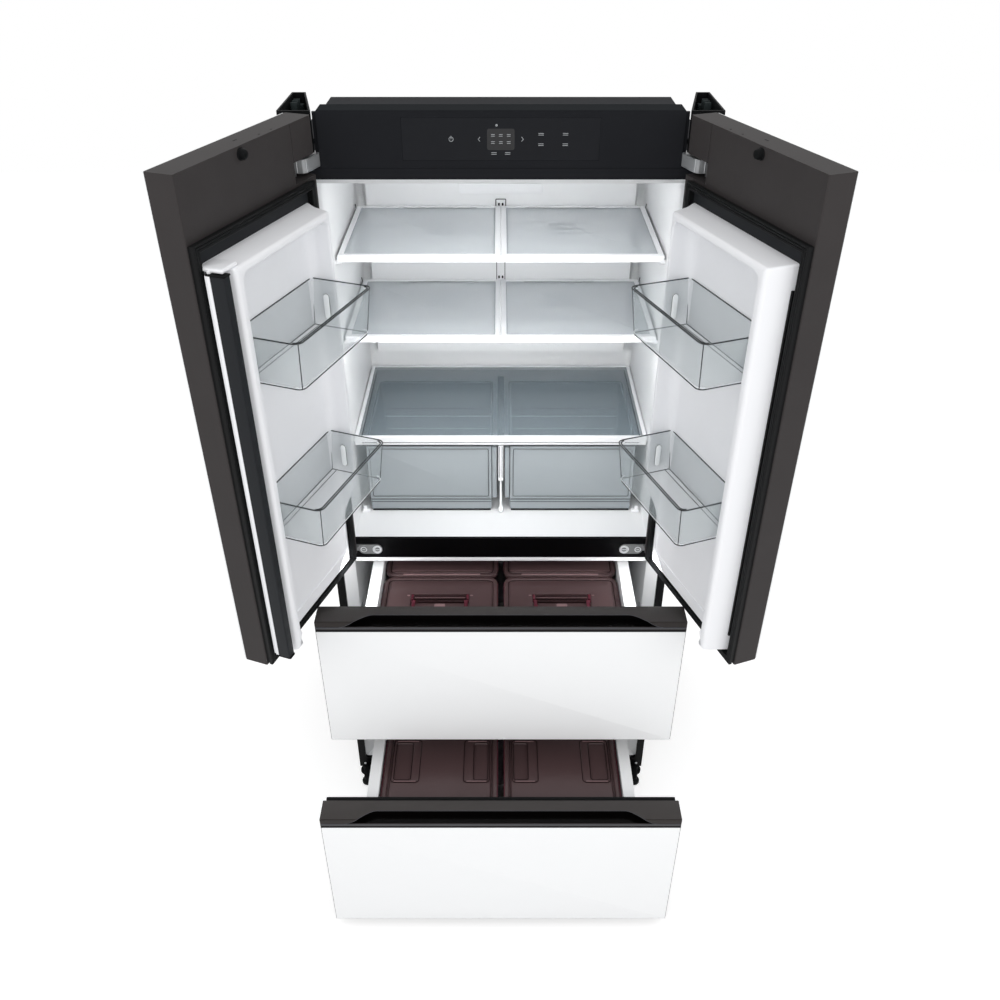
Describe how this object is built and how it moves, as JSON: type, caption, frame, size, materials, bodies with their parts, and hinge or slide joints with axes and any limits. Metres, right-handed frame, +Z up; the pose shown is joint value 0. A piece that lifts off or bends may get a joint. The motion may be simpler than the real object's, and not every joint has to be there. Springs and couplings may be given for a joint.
{
  "type": "kimchi refrigerator",
  "caption": "Free-standing kimchi refrigerator with two upper doors and two drawers, all standing open on shelves, crispers, door baskets and lidded storage boxes.",
  "frame": {"origin": "centre of the four levelling feet, on the floor", "axes": "+X to the user's right, +Y to the back, +Z up"},
  "size_m": [1.0876, 1.104, 1.864],
  "materials": {
    "cabinet_paint": "satin",
    "back_sheet": "satin",
    "base_steel": "satin",
    "frame_paint": "satin",
    "foam": "matte",
    "liner_white": "satin",
    "header_black": "matte",
    "display_black": "gloss",
    "black_plastic": "matte",
    "door_frame_grey": "satin",
    "panel_white": "satin",
    "gasket_black": "matte",
    "hinge_steel": "satin",
    "pin_steel": "polished",
    "shelf_white": "satin",
    "cover_frame_white": "satin",
    "cover_glass": "gloss",
    "crisper_clear": "satin",
    "basket_clear": "gloss",
    "drawer_trim": "satin",
    "tray_white": "satin",
    "rail_steel": "satin",
    "container_burgundy": "gloss",
    "lid_burgundy": "gloss",
    "handle_burgundy": "gloss",
    "coil_aluminium": "satin",
    "fan_black": "matte",
    "compressor_black": "satin"
  },
  "bodies": {
    "cabinet": {"cabinet_shell": "cabinet_paint", "back_panel": "back_sheet", "base_plate": "base_steel", "insulation": "foam", "fridge_liner": "liner_white", "drawer_liners": "liner_white", "front_frame": "frame_paint", "header_fascia": "header_black", "display_glass": "display_black", "corner_covers": "black_plastic", "rear_duct_cover": "liner_white", "crisper_cover_frame": "cover_frame_white", "crisper_cover_glass": "cover_glass", "upper_hinge_arms": "hinge_steel", "lower_hinge_plates": "hinge_steel", "hinge_pins": "pin_steel", "compressor": "compressor_black", "evaporator": "coil_aluminium", "fan": "fan_black", "levelling_feet": "black_plastic", "drawer_rails": "rail_steel"},
    "left_door": {"left_door_shell": "door_frame_grey", "left_door_panel": "panel_white", "left_door_liner": "liner_white", "left_door_gasket": "gasket_black"},
    "right_door": {"right_door_shell": "door_frame_grey", "right_door_panel": "panel_white", "right_door_liner": "liner_white", "right_door_gasket": "gasket_black"},
    "centre_seal": {"mullion_flap": "black_plastic"},
    "left_upper_door_basket": {"left_basket_upper": "basket_clear"},
    "left_lower_door_basket": {"left_basket_lower": "basket_clear"},
    "right_upper_door_basket": {"right_basket_upper": "basket_clear"},
    "right_lower_door_basket": {"right_basket_lower": "basket_clear"},
    "left_upper_shelf": {"left_shelf_upper": "shelf_white"},
    "left_lower_shelf": {"left_shelf_lower": "shelf_white"},
    "right_upper_shelf": {"right_shelf_upper": "shelf_white"},
    "right_lower_shelf": {"right_shelf_lower": "shelf_white"},
    "left_crisper_box": {"left_crisper": "crisper_clear"},
    "right_crisper_box": {"right_crisper": "crisper_clear"},
    "upper_drawer": {"upper_drawer_front": "drawer_trim", "upper_drawer_panel": "panel_white", "upper_drawer_tray": "tray_white", "rear_containers": "container_burgundy", "rear_lids": "lid_burgundy"},
    "upper_drawer_middle_rails": {"upper_middle_rails": "rail_steel"},
    "lower_drawer": {"lower_drawer_front": "drawer_trim", "lower_drawer_panel": "panel_white", "lower_drawer_tray": "tray_white"},
    "lower_drawer_middle_rails": {"lower_middle_rails": "rail_steel"},
    "left_upper_box": {"left_upper_container": "container_burgundy"},
    "left_upper_box_lid": {"left_upper_lid": "lid_burgundy"},
    "left_lower_box": {"left_lower_container": "container_burgundy"},
    "left_lower_box_lid": {"left_lower_lid": "lid_burgundy"},
    "left_upper_box_handle": {"left_upper_handle": "handle_burgundy"},
    "right_upper_box": {"right_upper_container": "container_burgundy"},
    "right_upper_box_lid": {"right_upper_lid": "lid_burgundy"},
    "right_lower_box": {"right_lower_container": "container_burgundy"},
    "right_lower_box_lid": {"right_lower_lid": "lid_burgundy"},
    "right_upper_box_handle": {"right_upper_handle": "handle_burgundy"}
  },
  "joints": [
    {"name": "left_door_hinge", "type": "hinge", "parent": "cabinet", "child": "left_door", "pos_m": [-0.389, -0.333, 0.86], "axis": [0, 0, -1], "range_deg": [-110, 5]},
    {"name": "right_door_hinge", "type": "hinge", "parent": "cabinet", "child": "right_door", "pos_m": [0.389, -0.333, 0.86], "axis": [0, 0, 1], "range_deg": [-110, 5]},
    {"name": "centre_seal_fold", "type": "hinge", "parent": "left_door", "child": "centre_seal", "pos_m": [-0.46451, -0.6998, 0.88], "axis": [0, 0, 1], "range_deg": [-90, 5]},
    {"name": "left_upper_door_basket_lift", "type": "slide", "parent": "left_door", "child": "left_upper_door_basket", "axis": [0, 0, 1], "range_m": [0, 0.03]},
    {"name": "left_lower_door_basket_lift", "type": "slide", "parent": "left_door", "child": "left_lower_door_basket", "axis": [0, 0, 1], "range_m": [0, 0.03]},
    {"name": "right_upper_door_basket_lift", "type": "slide", "parent": "right_door", "child": "right_upper_door_basket", "axis": [0, 0, 1], "range_m": [0, 0.03]},
    {"name": "right_lower_door_basket_lift", "type": "slide", "parent": "right_door", "child": "right_lower_door_basket", "axis": [0, 0, 1], "range_m": [0, 0.03]},
    {"name": "left_upper_shelf_slide", "type": "slide", "parent": "cabinet", "child": "left_upper_shelf", "axis": [0, -1, 0], "range_m": [0, 0.12]},
    {"name": "left_lower_shelf_slide", "type": "slide", "parent": "cabinet", "child": "left_lower_shelf", "axis": [0, -1, 0], "range_m": [0, 0.12]},
    {"name": "right_upper_shelf_slide", "type": "slide", "parent": "cabinet", "child": "right_upper_shelf", "axis": [0, -1, 0], "range_m": [0, 0.12]},
    {"name": "right_lower_shelf_slide", "type": "slide", "parent": "cabinet", "child": "right_lower_shelf", "axis": [0, -1, 0], "range_m": [0, 0.12]},
    {"name": "left_crisper_box_slide", "type": "slide", "parent": "cabinet", "child": "left_crisper_box", "axis": [0, -1, 0], "range_m": [0, 0.1]},
    {"name": "right_crisper_box_slide", "type": "slide", "parent": "cabinet", "child": "right_crisper_box", "axis": [0, -1, 0], "range_m": [0, 0.1]},
    {"name": "upper_drawer_slide", "type": "slide", "parent": "cabinet", "child": "upper_drawer", "axis": [0, -1, 0], "range_m": [-0.207, 0.243]},
    {"name": "upper_middle_rails_slide", "type": "slide", "parent": "cabinet", "child": "upper_drawer_middle_rails", "axis": [0, -1, 0], "range_m": [-0.1035, 0.1215]},
    {"name": "lower_drawer_slide", "type": "slide", "parent": "cabinet", "child": "lower_drawer", "axis": [0, -1, 0], "range_m": [-0.419, 0.031]},
    {"name": "lower_middle_rails_slide", "type": "slide", "parent": "cabinet", "child": "lower_drawer_middle_rails", "axis": [0, -1, 0], "range_m": [-0.2095, 0.0155]},
    {"name": "left_upper_box_lift", "type": "slide", "parent": "upper_drawer", "child": "left_upper_box", "axis": [0, 0, 1], "range_m": [0, 0.05]},
    {"name": "left_upper_box_lid_lift", "type": "slide", "parent": "left_upper_box", "child": "left_upper_box_lid", "axis": [0, 0, 1], "range_m": [0, 0.03]},
    {"name": "left_lower_box_lift", "type": "slide", "parent": "lower_drawer", "child": "left_lower_box", "axis": [0, 0, 1], "range_m": [0, 0.02]},
    {"name": "left_lower_box_lid_lift", "type": "slide", "parent": "left_lower_box", "child": "left_lower_box_lid", "axis": [0, 0, 1], "range_m": [0, 0.02]},
    {"name": "left_upper_box_handle_fold", "type": "hinge", "parent": "left_upper_box_lid", "child": "left_upper_box_handle", "pos_m": [-0.149, -0.386, 0.7505], "axis": [-1, 0, 0], "range_deg": [0, 90]},
    {"name": "right_upper_box_lift", "type": "slide", "parent": "upper_drawer", "child": "right_upper_box", "axis": [0, 0, 1], "range_m": [0, 0.05]},
    {"name": "right_upper_box_lid_lift", "type": "slide", "parent": "right_upper_box", "child": "right_upper_box_lid", "axis": [0, 0, 1], "range_m": [0, 0.03]},
    {"name": "right_lower_box_lift", "type": "slide", "parent": "lower_drawer", "child": "right_lower_box", "axis": [0, 0, 1], "range_m": [0, 0.02]},
    {"name": "right_lower_box_lid_lift", "type": "slide", "parent": "right_lower_box", "child": "right_lower_box_lid", "axis": [0, 0, 1], "range_m": [0, 0.02]},
    {"name": "right_upper_box_handle_fold", "type": "hinge", "parent": "right_upper_box_lid", "child": "right_upper_box_handle", "pos_m": [0.149, -0.386, 0.7505], "axis": [-1, 0, 0], "range_deg": [0, 90]}
  ],
  "couplings": [
    {"joint": "centre_seal_fold", "follows": "left_door_hinge", "ratio": 0.81818},
    {"joint": "upper_middle_rails_slide", "follows": "upper_drawer_slide", "ratio": 0.5},
    {"joint": "lower_middle_rails_slide", "follows": "lower_drawer_slide", "ratio": 0.5}
  ]
}
